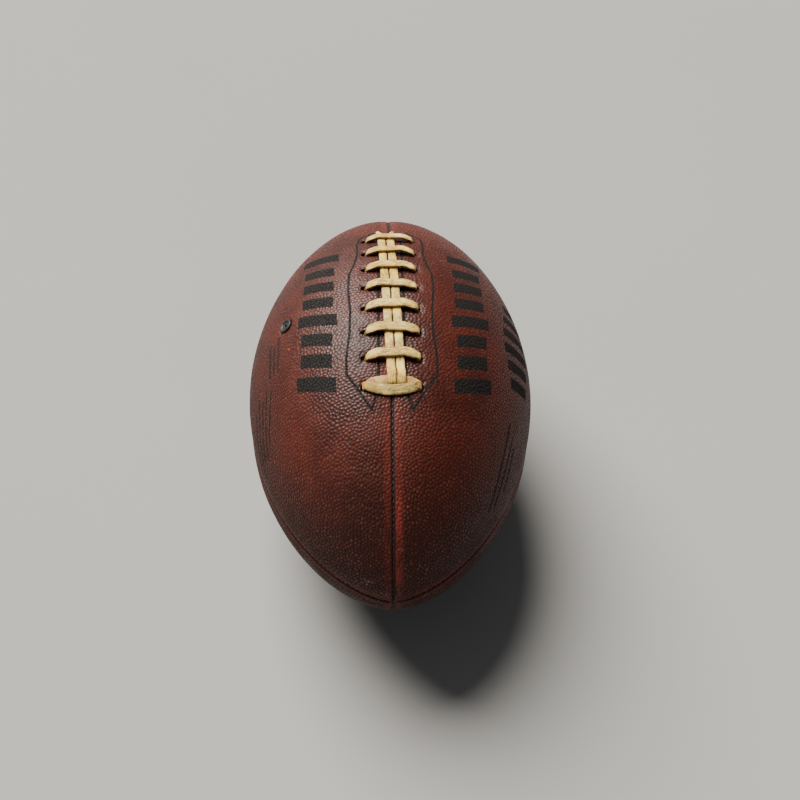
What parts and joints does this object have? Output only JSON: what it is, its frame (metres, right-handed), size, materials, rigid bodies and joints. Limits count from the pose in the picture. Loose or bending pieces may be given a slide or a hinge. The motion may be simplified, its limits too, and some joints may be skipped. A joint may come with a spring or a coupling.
{
  "type": "gridiron football",
  "caption": "Pointed oval leather football with sewn panels, a raised lace across the top seam, an inner bladder and an inflation valve.",
  "frame": {"origin": "middle of the ball, on its long axis, halfway between the two noses", "axes": "+Y along the ball's long axis towards its far nose, +Z through the top seam and the lace, +X to the right seen from the near nose"},
  "size_m": [0.1692, 0.2848, 0.1729],
  "materials": {
    "panel_leather": "dark red brown pebbled leather, waxed and worn",
    "lining_cloth": "raw cotton",
    "eyelet_tape": "woven tape",
    "tongue_leather": "smooth dark leather",
    "bladder_rubber": "satin black rubber",
    "valve_rubber": "moulded black rubber",
    "core_rubber": "soft tan rubber",
    "seam_thread": "waxed dark thread",
    "lace_band": "cream laminate, creased and stained"
  },
  "bodies": {
    "root": {"panel_upper_right": "panel_leather", "panel_upper_left": "panel_leather", "panel_lower_right": "panel_leather", "panel_lower_left": "panel_leather", "lining_upper_right": "lining_cloth", "lining_upper_left": "lining_cloth", "lining_lower_right": "lining_cloth", "lining_lower_left": "lining_cloth", "eyelet_tape_left": "eyelet_tape", "eyelet_tape_right": "eyelet_tape", "tongue": "tongue_leather", "bladder": "bladder_rubber", "valve_body": "valve_rubber", "valve_core": "core_rubber", "valve_patch": "valve_rubber", "thread_top_near": "seam_thread", "thread_top_far": "seam_thread", "thread_right": "seam_thread", "thread_bottom": "seam_thread", "thread_left": "seam_thread", "lace": "lace_band"}
  },
  "joints": []
}
